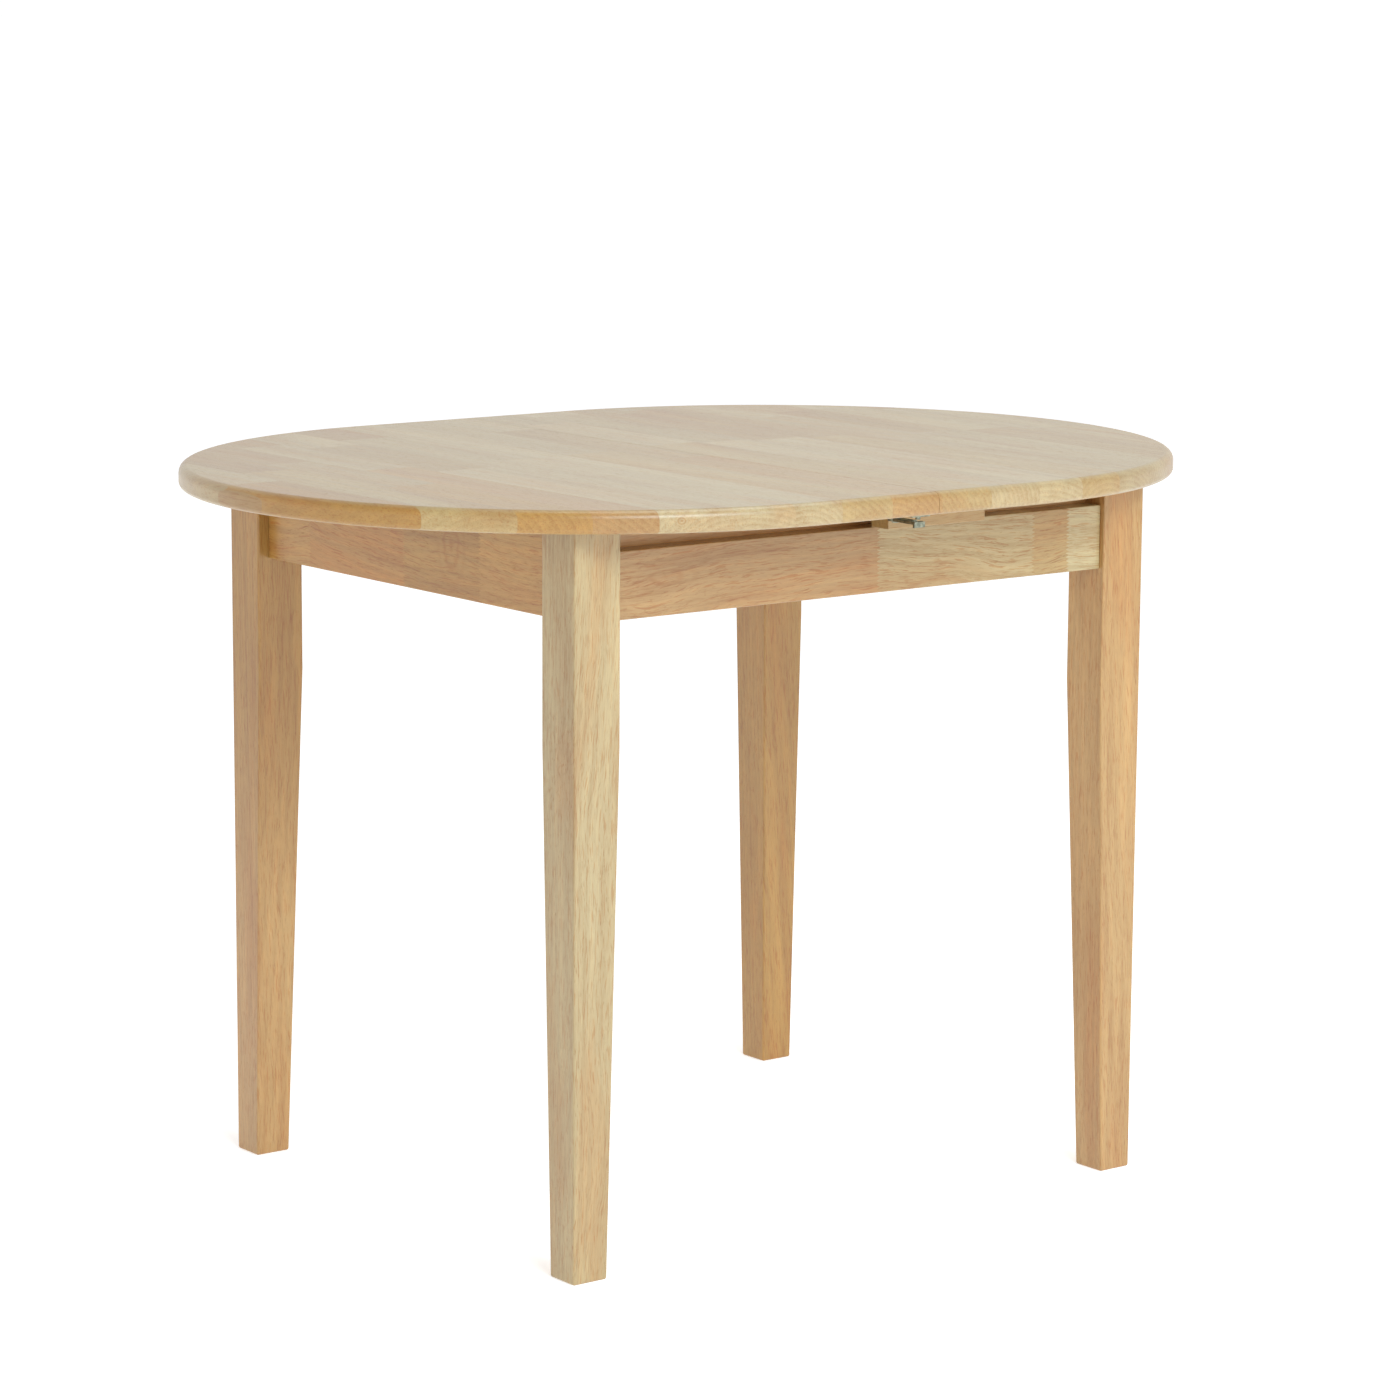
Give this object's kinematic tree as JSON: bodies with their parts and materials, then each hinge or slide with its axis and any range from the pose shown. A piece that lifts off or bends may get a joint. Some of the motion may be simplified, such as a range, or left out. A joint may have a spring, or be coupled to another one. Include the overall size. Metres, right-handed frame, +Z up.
{
  "type": "extending table",
  "caption": "Oval wooden dining table on tapered square legs, whose top splits across the middle and slides apart on rails.",
  "frame": {"origin": "on the floor, under the middle of the closed top", "axes": "+X along the long side of the oval top, +Y towards the back across its width, +Z up"},
  "size_m": [1.06, 0.8, 0.74],
  "materials": {
    "top": "satin lacquered pale rubberwood, edge-glued staves",
    "frame_wood": "satin lacquered natural rubberwood, straight grain",
    "inner_wood": "sanded unlacquered hardwood",
    "steel": "zinc plated",
    "catch_metal": "pressed and zinc plated"
  },
  "bodies": {
    "frame": {"leg_front_left": "frame_wood", "leg_front_right": "frame_wood", "leg_back_left": "frame_wood", "leg_back_right": "frame_wood", "apron_front": "frame_wood", "apron_back": "frame_wood", "apron_left": "frame_wood", "apron_right": "frame_wood", "bearer_front": "inner_wood", "bearer_back": "inner_wood", "corner_brace_front_left": "inner_wood", "corner_brace_front_right": "inner_wood", "corner_brace_back_left": "inner_wood", "corner_brace_back_right": "inner_wood", "hanger_bolts": "steel", "bolt_washers": "steel", "bolt_nuts": "steel", "brace_screws": "steel", "apron_dowels": "inner_wood", "bearer_screws": "steel"},
    "top_left": {"top_half_left": "top", "runner_front_left": "inner_wood", "runner_back_left": "inner_wood", "stop_block_back": "frame_wood", "runner_screws_left": "steel", "block_screws_back": "steel", "catch_plate_front": "catch_metal", "catch_rivet_front": "catch_metal", "catch_keeper_back": "catch_metal", "catch_screws_left": "steel"},
    "top_right": {"top_half_right": "top", "runner_front_right": "inner_wood", "runner_back_right": "inner_wood", "stop_block_front": "frame_wood", "runner_screws_right": "steel", "block_screws_front": "steel", "seam_dowels": "inner_wood", "catch_plate_back": "catch_metal", "catch_rivet_back": "catch_metal", "catch_keeper_front": "catch_metal", "catch_screws_right": "steel"},
    "lever_front": {"catch_lever_front": "catch_metal"},
    "lever_back": {"catch_lever_back": "catch_metal"}
  },
  "joints": [
    {"name": "top_left_slide", "type": "slide", "parent": "frame", "child": "top_left", "axis": [-1, 0, 0], "range_m": [0, 0.178]},
    {"name": "top_right_slide", "type": "slide", "parent": "frame", "child": "top_right", "axis": [1, 0, 0], "range_m": [0, 0.178]},
    {"name": "catch_front_turn", "type": "hinge", "parent": "top_left", "child": "lever_front", "pos_m": [-0.014, -0.352, 0.71], "axis": [0, 0, 1], "range_deg": [0, 90]},
    {"name": "catch_back_turn", "type": "hinge", "parent": "top_right", "child": "lever_back", "pos_m": [0.014, 0.352, 0.71], "axis": [0, 0, 1], "range_deg": [0, 90]}
  ]
}
